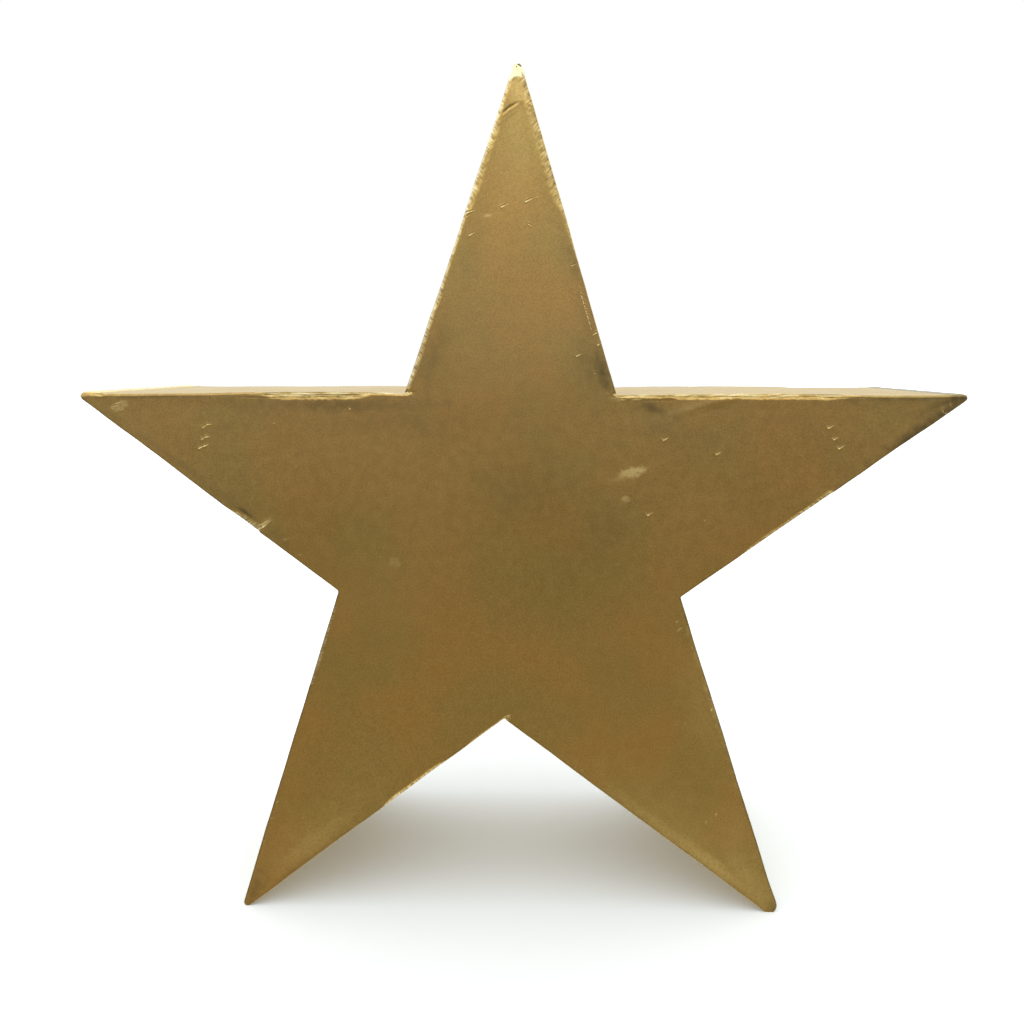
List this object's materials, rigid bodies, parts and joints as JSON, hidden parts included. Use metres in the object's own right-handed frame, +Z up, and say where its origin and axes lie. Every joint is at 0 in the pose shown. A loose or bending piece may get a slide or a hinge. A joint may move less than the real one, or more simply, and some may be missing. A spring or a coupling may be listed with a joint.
{
  "type": "star trophy",
  "caption": "Free-standing hollow star of brazed sheet brass with an aged patina and worn bright edges; it stands on its lower points as an award or shelf ornament.",
  "frame": {"origin": "on the ground, under the middle of the bounding box from left to right and from front to back", "axes": "+Z up as the star stands on its two lower points, the front face looks along -Y, +X to the right as the front is seen"},
  "size_m": [0.299, 0.09, 0.2874],
  "materials": {
    "aged_brass": "satin",
    "filed_brass": "satin",
    "braze_filler": "satin"
  },
  "bodies": {
    "root": {"front_plate": "aged_brass", "back_plate": "aged_brass", "side_strip_upper_right": "filed_brass", "side_strip_lower_right": "filed_brass", "side_strip_bottom": "filed_brass", "side_strip_lower_left": "filed_brass", "side_strip_upper_left": "filed_brass", "front_seam_upper_right": "braze_filler", "front_seam_lower_right": "braze_filler", "front_seam_bottom": "braze_filler", "front_seam_lower_left": "braze_filler", "front_seam_upper_left": "braze_filler", "back_seam_upper_right": "braze_filler", "back_seam_lower_right": "braze_filler", "back_seam_bottom": "braze_filler", "back_seam_lower_left": "braze_filler", "back_seam_upper_left": "braze_filler", "tip_braze_top": "braze_filler", "tip_braze_right": "braze_filler", "tip_braze_lower_right": "braze_filler", "tip_braze_lower_left": "braze_filler", "tip_braze_left": "braze_filler"}
  },
  "joints": []
}
